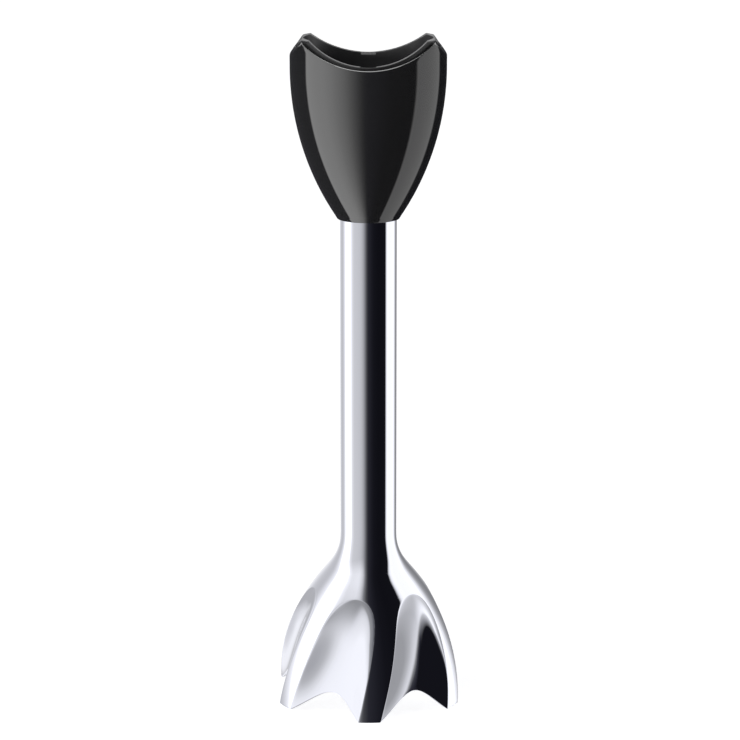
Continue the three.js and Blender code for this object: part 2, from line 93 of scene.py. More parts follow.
# Brightness of the studio by compass direction, in degrees from -Y towards +X: a tall softbox on the
# left, a black flag in front and to the right, a strip light on the right and a dim room behind. The
# steel body, its scoops (flutes) and the black coupling each have their own version of it.
STUDIO = {
    "body": [
        (-180, 0.97), (-170, 0.94), (-163, 0.89), (-157, 0.82), (-150, 0.70), (-143, 0.62), (-135, 0.58),
        (-127, 0.57), (-122, 0.64), (-118, 0.74), (-113, 0.88), (-108, 1.05), (-106, 1.45), (-77, 1.40),
        (-72, 0.96), (-68, 0.76), (-63, 0.68), (-58, 0.65), (-45, 0.63), (-36, 0.595), (-28, 0.54),
        (-24, 0.48), (-20, 0.40), (-15.6, 0.28), (-11.5, 0.17), (-7.5, 0.075), (-3.5, 0.037), (0.5, 0.020),
        (8.5, 0.014), (20, 0.008), (30, 0.0055), (73, 0.0055), (76, 0.50), (79, 0.98), (85, 1.15), (95, 1.12),
        (110, 1.13), (117, 1.16), (127, 1.12), (131, 0.88), (135, 0.58), (140, 0.36), (145, 0.28),
        (152, 0.23), (158, 0.28), (164, 0.43), (172, 0.60), (180, 0.97),
    ],
    "flutes": [
        (-180, 0.80), (-170, 0.62), (-160, 0.56), (-156, 0.60), (-151, 0.88), (-146, 0.97), (-139, 0.97),
        (-133, 0.66), (-131, 0.62), (-124, 0.68), (-116, 0.9), (-104, 1.03), (-61, 1.03), (-50, 1.02),
        (-38, 0.98), (-30, 0.88), (-25, 0.74), (-20, 0.51), (-16, 0.39), (-10, 0.35), (-4, 0.26), (4, 0.14),
        (12, 0.06), (20, 0.016), (30, 0.007), (66, 0.007), (70, 0.05), (74, 0.3), (76, 0.56), (78, 0.74),
        (80, 0.73), (84, 0.66), (88, 0.54), (92, 0.41), (97, 0.365), (103, 0.34), (118, 0.34), (135, 0.45),
        (150, 0.60), (168, 0.76), (180, 0.80),
    ],
    "coupling": [
        (-180, 0.05), (-104.5, 0.05), (-102.5, 1.42), (-70, 1.38), (-55, 1.22), (-49, 1.08), (-42, 0.97),
        (-36, 0.82), (-30, 0.66), (-24, 0.49), (-18, 0.33), (-12, 0.18), (-6, 0.08), (0, 0.045), (12, 0.03),
        (30, 0.010), (40, 0.006), (75, 0.006), (77, 0.62), (126.5, 0.66), (128.5, 0.01), (170, 0.01),
        (180, 0.05),
    ],
}
# What the scoops see high up. Below, they see the rest of their own row as well, which fades with height.
STUDIO["flutes_high"] = [
    (-180, 0.80), (-170, 0.60), (-160, 0.47), (-140, 0.48), (-133, 0.60), (-131, 0.62), (-124, 0.68),
    (-116, 0.9), (-104, 1.03), (-61, 1.03), (-52, 0.90), (-42, 0.80), (-36, 0.64), (-31, 0.33), (-14, 0.27),
    (0, 0.20),
] + [stop for stop in STUDIO["flutes"] if stop[0] > 0]
LOW_TOPS = {  # how the rest fades, as (elevation, share), by number of the sector
    0: [(-70, 1), (-9, 1), (-7.5, 0.6), (-5.5, 0), (70, 0)],
    2: [(-70, 1), (8, 1), (11, 0.9), (14, 0.7), (18, 0.36), (21, 0.17), (26, 0), (70, 0)],
}
# Azimuths at which the surroundings take the dimmest of the groups. Lamps add the rest to each group.
SHARED = [-180, -160, -140, -120, -104.5, -102.5, -77, -70, -61, -52, -42, -36, -30, -24, -18, -12, -6, 0,
          12, 22, 40, 74, 76, 80, 88, 97, 110, 126.5, 128.5, 150, 180]
PANEL_DISTANCE, PANEL_HEIGHT, PANEL_Z = 2.5, 30.0, 0.03  # metres
LAMP_GAP = 0.1  # two lamps in one plane would hide each other
PANEL_SPAN, PANEL_STEPS = 60, 24  # degrees that a panel covers, and its steps of brightness
FAINT = 0.002  # a panel this dark is left out


def studio_level(group, azimuth):
    """Brightness that a group of pieces sees at an azimuth."""
    stops = STUDIO[group]
    return float(np.interp(azimuth, [s[0] for s in stops], [s[1] for s in stops]))


def shared_level(azimuth):
    return min(studio_level(group, azimuth) for group in STUDIO)


def cool(level):
    """How much bluer than red a grey of the studio is: only the flag's darks are."""
    return float(np.interp(level, [0, 0.02, 0.06, 0.2], [1.45, 1.3, 1.06, 1.0]))


def tinted(level):
    return level, level, level * cool(level), 1


def fill_ramp(node, stops):
    """Give a color ramp its stops, as (position, color)."""
    elements = node.color_ramp.elements
    while len(elements) > 1:
        elements.remove(elements[-1])
    for i, (position, color) in enumerate(stops):
        stop = elements[0] if i == 0 else elements.new(position)
        stop.position, stop.color = position, color


def make_world():
    """Surroundings that only change with azimuth, and are plain white where the camera sees them."""
    world = bpy.data.worlds.new("studio")
    bpy.context.scene.world = world
    world.use_nodes = True
    tree = world.node_tree
    tree.nodes.clear()
    new, link = tree.nodes.new, tree.links.new
    where = new("ShaderNodeTexCoord")
    parts = new("ShaderNodeSeparateXYZ")
    link(where.outputs["Generated"], parts.inputs[0])
    flip = new("ShaderNodeMath")
    flip.operation = "MULTIPLY"
    flip.inputs[1].default_value = -1
    link(parts.outputs["Y"], flip.inputs[0])
    azimuth = new("ShaderNodeMath")
    azimuth.operation = "ARCTAN2"
    link(parts.outputs["X"], azimuth.inputs[0])
    link(flip.outputs[0], azimuth.inputs[1])
    turn = new("ShaderNodeMapRange")
    turn.inputs["From Min"].default_value = -math.pi
    turn.inputs["From Max"].default_value = math.pi
    link(azimuth.outputs[0], turn.inputs["Value"])
    ramp = new("ShaderNodeValToRGB")
    fill_ramp(ramp, [((degrees + 180) / 360, tinted(shared_level(degrees))) for degrees in SHARED])
    link(turn.outputs[0], ramp.inputs[0])
    studio = new("ShaderNodeBackground")
    studio.inputs["Strength"].default_value = 1.0
    link(ramp.outputs[0], studio.inputs["Color"])
    white = new("ShaderNodeBackground")
    white.inputs["Color"].default_value = (1, 1, 1, 1)
    white.inputs["Strength"].default_value = 1.0
    path = new("ShaderNodeLightPath")
    mix = new("ShaderNodeMixShader")
    link(path.outputs["Is Camera Ray"], mix.inputs[0])
    link(studio.outputs[0], mix.inputs[1])
    link(white.outputs[0], mix.inputs[2])
    out = new("ShaderNodeOutputWorld")
    link(mix.outputs[0], out.inputs[0])


def make_panels(group, receivers, over=None):
    """Six tall panels round the object, which only light the given pieces and add to the shared studio.
    With over, they add to that group's panels instead, and fade as LOW_TOPS says."""
    distance = PANEL_DISTANCE + (LAMP_GAP if over else 0)
    width = 2 * distance * math.tan(math.radians(PANEL_SPAN / 2))
    shared = [shared_level(azimuth) for azimuth in SHARED]
    for sector in range(360 // PANEL_SPAN):
        middle = -180 + PANEL_SPAN * (sector + 0.5)
        stops = []
        for azimuth in np.linspace(middle - PANEL_SPAN / 2, middle + PANEL_SPAN / 2, PANEL_STEPS + 1):
            base = studio_level(over, azimuth) if over else float(np.interp(azimuth, SHARED, shared))
            offset = math.tan(math.radians(azimuth - middle)) * distance / width + 0.5
            stops.append((min(max(offset, 0), 1), max(studio_level(group, azimuth) - base, 0)))
        if max(extra for _, extra in stops) < FAINT:
            continue
        data = area_lamp(f"{group}_panel_{sector}", width, PANEL_HEIGHT)
        fade = [(0.5 + distance * math.tan(math.radians(elevation)) / PANEL_HEIGHT, share)
                for elevation, share in (LOW_TOPS.get(sector, []) if over else [])]
        lamp_ramp(data, stops, fade)
        stand_lamp(data, middle, distance, PANEL_Z, receivers)


def lamp_ramp(data, stops, heights):
    """Brightness of an area lamp: stops are (position, level) along its X, and heights are (position,
    share) along its Y. Positions run from 0 to 1."""
    data.use_nodes = True
    tree = data.node_tree
    tree.nodes.clear()
    place = tree.nodes.new("ShaderNodeNewGeometry")
    across = tree.nodes.new("ShaderNodeSeparateXYZ")
    tree.links.new(place.outputs["Parametric"], across.inputs[0])
    glow = tree.nodes.new("ShaderNodeEmission")
    levels = [(position, tinted(level)) for position, level in stops]
    shares = [(position, (share, share, share, 1)) for position, share in heights]
    for axis, colors, socket in (("X", levels, "Color"), ("Y", shares, "Strength")):
        if colors:
            ramp = tree.nodes.new("ShaderNodeValToRGB")
            fill_ramp(ramp, colors)
            tree.links.new(across.outputs[axis], ramp.inputs[0])
            tree.links.new(ramp.outputs[0], glow.inputs[socket])
    out = tree.nodes.new("ShaderNodeOutputLight")
    tree.links.new(glow.outputs[0], out.inputs[0])


def hang_lamp(data, location, turn, receivers):
    """Place a lamp that only lights the given pieces and that the camera doesn't see."""
    lamp = bpy.data.objects.new(data.name, data)
    bpy.context.scene.collection.objects.link(lamp)
    lamp.location = location
    lamp.rotation_euler = turn
    lamp.visible_camera = False
    linked = bpy.data.collections.new(data.name + "_receivers")
    for piece in receivers:
        linked.objects.link(piece)
    lamp.light_linking.receiver_collection = linked


def stand_lamp(data, azimuth, distance, z, receivers):
    """Place a lamp upright at an azimuth, facing the object."""
    turn = math.radians(azimuth)
    location = (distance * math.sin(turn), -distance * math.cos(turn), z)
    hang_lamp(data, location, (math.radians(90), 0, turn), receivers)


def area_lamp(name, width, height, level=1.0):
    """Rectangular lamp whose face is as bright as level."""
    data = bpy.data.lights.new(name, "AREA")
    data.shape = "RECTANGLE"
    data.size, data.size_y = width, height
    data.energy = level * math.pi * width * height
    return data


def make_band(name, receivers, azimuths, elevations):
    """Upright lamp whose brightness is given by azimuth, and faded by elevation, both in degrees."""
    distance = PANEL_DISTANCE - LAMP_GAP
    middle = (azimuths[0][0] + azimuths[-1][0]) / 2
    across = [distance * math.tan(math.radians(azimuth - middle)) for azimuth, _ in azimuths]
    up = [distance * math.tan(math.radians(elevation)) for elevation, _ in elevations]
    width, height = across[-1] - across[0], up[-1] - up[0]
    data = area_lamp(name, width, height)
    lamp_ramp(data, [((x - across[0]) / width, level) for x, (_, level) in zip(across, azimuths)],
              [((z - up[0]) / height, share) for z, (_, share) in zip(up, elevations)])
    stand_lamp(data, middle, distance, up[0] + height / 2 + PANEL_Z, receivers)


def make_card(name, level, size, location, tilt, receivers):
    """Plain lamp above or behind the object, facing it, for its upward facing edges."""
    hang_lamp(area_lamp(name, *size, level), location, (math.radians(tilt), 0, 0), receivers)


def make_floor():
    mesh = bpy.data.meshes.new("floor")
    half, z = 6.0, -0.0002
    corners = [(-half, -half, z), (half, -half, z), (half, half, z), (-half, half, z)]
    mesh.from_pydata(corners, [], [(0, 1, 2, 3)])
    floor = bpy.data.objects.new("floor", mesh)
    bpy.context.scene.collection.objects.link(floor)
    floor.visible_glossy = False
    mat = bpy.data.materials.new("floor_paper")
    mat.use_nodes = True
    bsdf = mat.node_tree.nodes["Principled BSDF"]
    bsdf.inputs["Base Color"].default_value = (0.9, 0.9, 0.9, 1)
    bsdf.inputs["Roughness"].default_value = 0.9
    bsdf.inputs["Specular IOR Level"].default_value = 0.0
    bsdf.inputs["Emission Color"].default_value = (1, 1, 1, 1)
    bsdf.inputs["Emission Strength"].default_value = 0.85
    mesh.materials.append(mat)


# ---- Materials ---------------------------------------------------------------------------------
class Finish:
    """A Principled material with a few procedural layers."""

    def __init__(self, name, color, metallic, roughness, ior=1.5):
        self.name = name
        self.mat = bpy.data.materials.new(name + "_finish")
        self.mat.use_nodes = True
        self.tree = self.mat.node_tree
        self.bsdf = self.tree.nodes["Principled BSDF"]
        self.color = color
        self.set("Base Color", (*color, 1))
        self.set("Metallic", metallic)
        self.set("Roughness", roughness)
        self.set("IOR", ior)
        self.where = self.tree.nodes.new("ShaderNodeTexCoord")

    def set(self, socket, value):
        self.bsdf.inputs[socket].default_value = value

    def noise(self, scale, detail, stretch=(1, 1, 1)):
        mapping = self.tree.nodes.new("ShaderNodeMapping")
        mapping.inputs["Scale"].default_value = stretch
        self.tree.links.new(self.where.outputs["Object"], mapping.inputs["Vector"])
        noise = self.tree.nodes.new("ShaderNodeTexNoise")
        noise.inputs["Scale"].default_value = scale
        noise.inputs["Detail"].default_value = detail
        noise.inputs["Roughness"].default_value = 0.5
        self.tree.links.new(mapping.outputs[0], noise.inputs["Vector"])
        return noise.outputs["Fac"]

    def spread(self, value, low, high):
        """Map the range that most of a noise falls in to a range from low to high."""
        node = self.tree.nodes.new("ShaderNodeMapRange")
        node.inputs["From Min"].default_value = 0.3
        node.inputs["From Max"].default_value = 0.7
        node.inputs["To Min"].default_value = low
        node.inputs["To Max"].default_value = high
        self.tree.links.new(value, node.inputs["Value"])
        return node.outputs[0]

    def vary_roughness(self, value, low, high):
        self.tree.links.new(self.spread(value, low, high), self.bsdf.inputs["Roughness"])

    def vary_color(self, value, darker, lighter):
        mix = self.tree.nodes.new("ShaderNodeMix")
        mix.data_type = "RGBA"
        mix.inputs[6].default_value = tuple(c * darker for c in self.color) + (1,)
        mix.inputs[7].default_value = tuple(c * lighter for c in self.color) + (1,)
        self.tree.links.new(self.spread(value, 0, 1), mix.inputs[0])
        self.tree.links.new(mix.outputs[2], self.bsdf.inputs["Base Color"])

    def bump(self, value, depth_mm):
        node = self.tree.nodes.new("ShaderNodeBump")
        node.inputs["Strength"].default_value = 1.0
        node.inputs["Distance"].default_value = depth_mm * MM
        self.tree.links.new(value, node.inputs["Height"])
        self.tree.links.new(node.outputs[0], self.bsdf.inputs["Normal"])

    def turned_marks(self, pitch_mm, depth_mm):
        """Fine rings round the axis, as a lathe leaves them."""
        wave = self.tree.nodes.new("ShaderNodeTexWave")
        wave.wave_type = "BANDS"
        wave.bands_direction = "Z"
        wave.inputs["Scale"].default_value = 1 / (pitch_mm * MM) / 20
        wave.inputs["Distortion"].default_value = 0.6
        wave.inputs["Detail"].default_value = 2.0
        self.tree.links.new(self.where.outputs["Object"], wave.inputs["Vector"])
        self.bump(wave.outputs["Fac"], depth_mm)


def make_finishes():
    made = {}

    def keep(finish):
        made[finish.name] = finish.mat
        return finish

    steel = keep(Finish("polished_steel", (0.878, 0.89, 0.965), 1.0, 0.03))
    steel.vary_roughness(steel.noise(60, 4, (1, 1, 0.25)), 0.022, 0.045)
    steel.vary_color(steel.noise(14, 2), 0.985, 1.0)
    steel.bump(steel.noise(1400, 2, (1, 1, 0.04)), 0.00025)

    blade = keep(Finish("blade_steel", (0.74, 0.75, 0.77), 1.0, 0.16))
    blade.vary_roughness(blade.noise(180, 4, (0.2, 1, 1)), 0.12, 0.24)
    blade.bump(blade.noise(2600, 3, (0.06, 1, 1)), 0.004)

    plain = keep(Finish("plain_steel", (0.60, 0.61, 0.63), 1.0, 0.28))
    plain.vary_roughness(plain.noise(220, 4), 0.22, 0.36)
    plain.vary_color(plain.noise(60, 3), 0.9, 1.04)
    plain.turned_marks(0.25, 0.004)

    gloss = keep(Finish("gloss_black", (0.0112, 0.0112, 0.0115), 0.0, 0.05, ior=2.0))
    gloss.vary_roughness(gloss.noise(90, 4), 0.045, 0.07)
    gloss.vary_color(gloss.noise(30, 3), 0.92, 1.08)
    gloss.bump(gloss.noise(160, 2), 0.0015)

    satin = keep(Finish("satin_black", (0.03, 0.03, 0.031), 0.0, 0.34))
    satin.vary_roughness(satin.noise(160, 4), 0.28, 0.42)
    satin.vary_color(satin.noise(50, 3), 0.85, 1.15)
    satin.bump(satin.noise(2200, 3), 0.008)

    grey = keep(Finish("grey_plastic", (0.16, 0.17, 0.18), 0.0, 0.42))
    grey.vary_roughness(grey.noise(170, 4), 0.36, 0.5)
    grey.vary_color(grey.noise(60, 3), 0.93, 1.06)
    grey.bump(grey.noise(2000, 3), 0.01)

    white = keep(Finish("white_plastic", (0.68, 0.67, 0.62), 0.0, 0.4))
    white.vary_roughness(white.noise(170, 4), 0.34, 0.5)
    white.vary_color(white.noise(60, 3), 0.95, 1.03)
    white.bump(white.noise(1800, 3), 0.008)

    bronze = keep(Finish("bronze", (0.45, 0.29, 0.11), 1.0, 0.42))
    bronze.vary_roughness(bronze.noise(400, 5), 0.34, 0.55)
    bronze.vary_color(bronze.noise(900, 4), 0.75, 1.1)
    bronze.bump(bronze.noise(2400, 4), 0.012)

    rubber = keep(Finish("rubber", (0.03, 0.03, 0.032), 0.0, 0.7, ior=1.45))
    rubber.vary_roughness(rubber.noise(260, 4), 0.6, 0.82)
    rubber.vary_color(rubber.noise(80, 3), 0.8, 1.25)
    rubber.bump(rubber.noise(1600, 4), 0.02)
    return made


# ---- Mesh helpers ------------------------------------------------------------------------------
def build(name, verts_mm, faces, material, body, replaces, slot, sharp=35, weld=0.002):
    """Mesh object from millimetre points, welded, smooth except across sharp edges."""
    mesh = bpy.data.meshes.new(name)
    mesh.from_pydata([tuple(c * MM for c in v) for v in verts_mm], [], faces)
    bm = bmesh.new()
    bm.from_mesh(mesh)
    bmesh.ops.remove_doubles(bm, verts=bm.verts, dist=weld * MM)
    bmesh.ops.dissolve_degenerate(bm, edges=bm.edges, dist=1e-7)
    bmesh.ops.recalc_face_normals(bm, faces=bm.faces)
    bm.to_mesh(mesh)
    bm.free()
    mesh.polygons.foreach_set("use_smooth", [True] * len(mesh.polygons))
    mesh.set_sharp_from_angle(angle=math.radians(sharp))
    mesh.materials.append(material)
    piece = bpy.data.objects.new(name, mesh)
    bpy.context.scene.collection.objects.link(piece)
    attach(piece, body)
    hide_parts(*replaces)
    return piece


def grid_faces(rows, columns, wrap_columns=False, wrap_rows=False):
    """Faces between the points of a grid that is stored row by row."""
    faces = []
    for i in range(rows if wrap_rows else rows - 1):
        low, high = i * columns, ((i + 1) % rows) * columns
        for j in range(columns if wrap_columns else columns - 1):
            k = (j + 1) % columns
            faces.append((low + j, low + k, high + k, high + j))
    return faces


def polar(r, azimuth, z):
    """Point at an azimuth in degrees from -Y towards +X."""
    a = np.radians(azimuth)
    return r * np.sin(a), -r * np.cos(a), z


def rounded(outline, steps=4):
    """Outline of (radius, height) or (radius, height, fillet) with its corners rounded."""
    points = []
    count = len(outline)
    for i, corner in enumerate(outline):
        r, z = corner[:2]
        fillet = corner[2] if len(corner) > 2 else 0
        before, after = Vector(outline[i - 1][:2]), Vector(outline[(i + 1) % count][:2])
        here = Vector((r, z))
        if not fillet:
            points.append((r, z))
            continue
        back, ahead = (before - here).normalized(), (after - here).normalized()
        half = back.angle(ahead) / 2
        reach = min(fillet / math.tan(half), 0.49 * (before - here).length, 0.49 * (after - here).length)
        start, end = here + back * reach, here + ahead * reach
        for s in range(steps + 1):
            t = s / steps
            point = start * (1 - t) ** 2 + here * 2 * t * (1 - t) + end * t**2
            points.append((point.x, point.y))
    return points


# ---- Tube and bell -------------------------------------------------------------------------------
DOME_CENTRE_R = FOOT_R - math.sqrt(DOME_R**2 - DOME_Z**2)
NECK_CENTRE_R = TUBE_R + NECK_R
RISE = math.sqrt((DOME_R + NECK_R) ** 2 - (NECK_CENTRE_R - DOME_CENTRE_R) ** 2)
NECK_TOP = DOME_Z + RISE
DOME_TOP = DOME_Z + RISE * DOME_R / (DOME_R + NECK_R)


def arcs(z):
    """Radius on the dome, the neck arc or the tube, whichever is at a height."""
    dome = DOME_CENTRE_R + np.sqrt(np.maximum(DOME_R**2 - (z - DOME_Z) ** 2, 0))
    neck = NECK_CENTRE_R - np.sqrt(np.maximum(NECK_R**2 - (NECK_TOP - z) ** 2, 0))
    return np.where(z >= NECK_TOP, TUBE_R, np.where(z >= DOME_TOP, neck, dome))


def meridian(z):
    """Outer radius of the bell and tube: a dome and a neck arc, blended into each other above BLEND_LOW."""
    z = np.asarray(z, float)
    reach = BLEND_REACH * np.clip((z - BLEND_LOW) / BLEND_HEIGHT, 0, 1)
    weights = ((-1, 0.1), (-0.5, 0.25), (0, 0.3), (0.5, 0.25), (1, 0.1))
    return sum(weight * arcs(z + reach * step) for step, weight in weights)


def wall_across(z):
    """Thickness of the steel, measured level."""
    step = 0.1
    slope = (meridian(np.asarray(z) + step) - meridian(z)) / step
    return STEEL_WALL * np.hypot(1, slope)


def flute_mid(z):
    """Azimuth of the middle of a scoop, which leans as it rises."""
    return FLUTE_MID + FLUTE_TWIST * np.minimum(z, FLUTE_TOP)


def flute_half(z):
    """Half width of a scoop, in degrees. It narrows on the way up, then closes in an arch."""
    t = np.clip(np.asarray(z, float) / FLUTE_TOP, 0, 1)
    return FLUTE_HALF * np.sqrt(np.maximum((1 - 0.19 * t) * (1 - t**11), 0))


def flute_depth(z, across):
    """Depth of a scoop below the dome, from its edge (across = -1 or 1) to its middle (0)."""
    t = np.clip(np.asarray(z, float) / FLUTE_TOP, 0, 1)
    middle = (1 - t**8) * (FLUTE_DEPTH + 8 * t - 20.3 * t**2 + 9.7 * t**3)
    hollow = 1 - np.abs(across) ** (2.4 - 0.4 * np.clip(2 * t, 0, 1))
    easing = np.clip((t - 0.15) / 0.5, 0, 1) ** 1.5 * np.clip(across, 0, 1)
    return middle * hollow ** (1 + 0.9 * easing)


def softened(depth, rounding=0.12):
    """A depth that starts gradually instead of at zero, so that edges are rounded."""
    return 0.5 * (depth + np.sqrt(depth**2 + rounding**2))


def clustered(count, power=1.7):
    """Numbers from -1 to 1, closer together near both ends."""
    t = np.linspace(-1, 1, count)
    return np.sign(t) * (1 - (1 - np.abs(t)) ** power)


def away_from_scoop(arc, z):
    """Distance of points on the land from the edge of the nearest scoop, along the dome."""
    height = FLUTE_TOP * (1 - np.linspace(1, 0, 600) ** 2)
    edge = np.radians(flute_half(height)) * meridian(height)
    return np.sqrt((arc[..., None] - edge) ** 2 + (z[..., None] - height) ** 2).min(-1)


def build_bell(material):
    """Tube and bell as two skins: the scoops, and all the rest with the inside."""
    parts = {"body": ([], []), "flutes": ([], [])}

    def add(r, az, z, part="body"):
        """One patch, given as rows by columns, repeated for each lobe."""
        verts, faces = parts[part]
        for lobe in range(LOBES):
            base = len(verts)
            points = np.stack(polar(r, az + 360 / LOBES * lobe, z), -1)
            verts.extend(map(tuple, points.reshape(-1, 3).tolist()))
            faces.extend(tuple(base + i for i in f) for f in grid_faces(*r.shape))

    def folded(r, az, z):
        """An outer patch whose last row is the rim, and the inner wall behind it, joined by a rounded rim."""
        wall = wall_across(z)
        profile = [(0, 0.22), (0.02, 0.12), (0.07, 0.05), (0.16, 0), (0.45, 0), (0.74, 0), (0.83, 0.05),
                   (0.88, 0.12), (0.9, 0.22)]
        inward, up = np.array(profile).T[:, :, None]
        rim = r[-1] - inward * wall[-1] / STEEL_WALL, np.tile(az[-1], (len(profile), 1)), z[-1] + up
        outside = [np.vstack([whole[:-1], edge[:1]]) for whole, edge in zip((r, az, z), rim)]
        inside = [np.vstack([edge, whole[:-1][::-1]]) for whole, edge in zip((r - wall, az, z), rim)]
        return outside, inside

    across = clustered(45)[None, :]
    low = SCALLOP * np.cos(np.pi / 2 * across) ** 1.05
    down = np.linspace(0, 1, 72)[:, None] ** 1.6  # closer together near the top of the scoops
    z = FLUTE_TOP + (low - FLUTE_TOP) * down
    r = meridian(z) - softened(flute_depth(z, across))
    outside, inside = folded(r, flute_mid(z) + flute_half(z) * across, z)
    add(*outside, "flutes")
    add(*inside)

    along = (clustered(25)[None, :] + 1) / 2
    z = FLUTE_TOP * (1 - down) + 0 * along
    half, gap = flute_half(z), 360 / LOBES - 2 * flute_half(z)
    arc = np.radians(half + np.minimum(along, 1 - along) * gap) * meridian(z)
    r = meridian(z) - softened(-0.7 * away_from_scoop(arc, z))
    outside, inside = folded(r, flute_mid(z) + half + gap * along, z)
    add(*outside)
    add(*inside)

    z = np.concatenate([FLUTE_TOP + np.array([0, 0.1, 0.22, 0.4, 0.7, 1.1, 1.6, 2.2, 2.9, 3.6, 4.4, 5.3]),
                        np.linspace(47.8, 64, 34), [80, 110, 150, 175, TUBE_TOP]])[::-1, None] + 0 * along
    arc = np.radians(np.minimum(along, 1 - along) * 360 / LOBES) * meridian(z)
    r = meridian(z) - softened(-0.7 * away_from_scoop(arc, z))
    az = flute_mid(z) + 360 / LOBES * along
    add(r, az, z)
    inner = r - wall_across(z)
    add(inner[::-1], az[::-1], z[::-1])
    add(np.vstack([inner[:1], r[:1]]), az[:2], z[[0, 0]])

    body = build("tube_and_bell_skin", *parts["body"], material, "housing", ["tube_and_bell"],
                 "polished_steel", sharp=50, weld=0.004)
    flutes = build("bell_flutes_skin", *parts["flutes"], material, "housing", ["tube_and_bell"],
                   "polished_steel", sharp=50, weld=0.004)
    return body, flutes


# ---- Coupling ----------------------------------------------------------------------------------
def coupling_radius(z):
    """Outer radius of the coupling: one long arc below its widest height."""
    below = np.maximum(COUPLING_WIDEST - np.asarray(z, float), 0)
    return COUPLING_R - COUPLING_ARC + np.sqrt(COUPLING_ARC**2 - below**2)


def shell_inside(z):
    """Inner radius of the shell, a constant wall below the outside."""
    below = np.maximum(COUPLING_WIDEST - np.asarray(z, float), 0)
    return coupling_radius(z) - SHELL_WALL * COUPLING_ARC / np.sqrt(COUPLING_ARC**2 - below**2)


def saddle_height(x, low, arc):
    """Height of the saddle-shaped edge at a distance from the middle plane."""
    x = np.abs(x)
    top = min(COUPLING_TOP, low + arc - math.sqrt(arc**2 - EAR_CORNER**2))
    curve = low + arc - np.sqrt(np.maximum(arc**2 - np.minimum(x, EAR_CORNER) ** 2, 0))
    return np.minimum(np.minimum(curve, top), top - (x - EAR_CORNER) * EAR_SLOPE)


def build_shell(material):
    """The coupling's shell, as rings from its foot up the outside, over the rim and down the inside."""
    azimuths = np.arange(0, 360, 0.75)
    straight_from, inner_r = 225, COUPLING_R - SHELL_WALL
    rows = []

    def row(r, z_of):
        rows.append([tuple(map(float, polar(r, a, z_of(a)))) for a in azimuths])

    def edge(r):
        return lambda a: float(saddle_height(r * math.sin(math.radians(a)), SADDLE_LOW, SADDLE_ARC))

    bore = TUBE_R + 0.4
    foot = [(bore, COUPLING_BOTTOM + 3), (bore, COUPLING_BOTTOM, 0.2), (10.9, COUPLING_BOTTOM, 0.5),
            (float(coupling_radius(174.9)), 174.9)]
    for r, z in rounded(foot)[1:]:
        row(r, lambda a, z=z: z)
    for z in np.linspace(175.2, straight_from, 70):
        row(float(coupling_radius(z)), lambda a, z=z: z)
    for k in np.linspace(0.0, 1.0, 8)[1:-1]:
        row(COUPLING_R, lambda a, k=k: straight_from + (edge(COUPLING_R)(a) - 0.45 - straight_from) * k)
    for inward, down in ((0, 0.45), (0.03, 0.27), (0.1, 0.13), (0.22, 0.04), (0.4, 0.0)):
        row(COUPLING_R - inward, lambda a, i=inward, d=down: edge(COUPLING_R - i)(a) - d)
    for r in np.linspace(COUPLING_R - 0.8, inner_r + 0.35, 3):
        row(r, edge(r))
    for inward, down in ((0.25, 0.0), (0.1, 0.06), (0.0, 0.25)):
        row(inner_r + inward, lambda a, i=inward, d=down: edge(inner_r + i)(a) - d)
    for z in np.linspace(224, 183, 20):
        row(float(shell_inside(z)), lambda a, z=z: z)
    for r, z in ((bore, COLLAR_TOP), (bore, SEAL_GROOVE_TOP), (SEAL_GROOVE_R, SEAL_GROOVE_TOP),
                 (SEAL_GROOVE_R, SEAL_GROOVE_LOW), (bore, SEAL_GROOVE_LOW)):
        row(r, lambda a, z=z: z)
    verts = [p for line in rows for p in line]
    faces = grid_faces(len(rows), len(azimuths), True, True)
    return build("coupling_shell_skin", verts, faces, material, "housing", ["coupling_shell"], "gloss_black",
                 sharp=30)


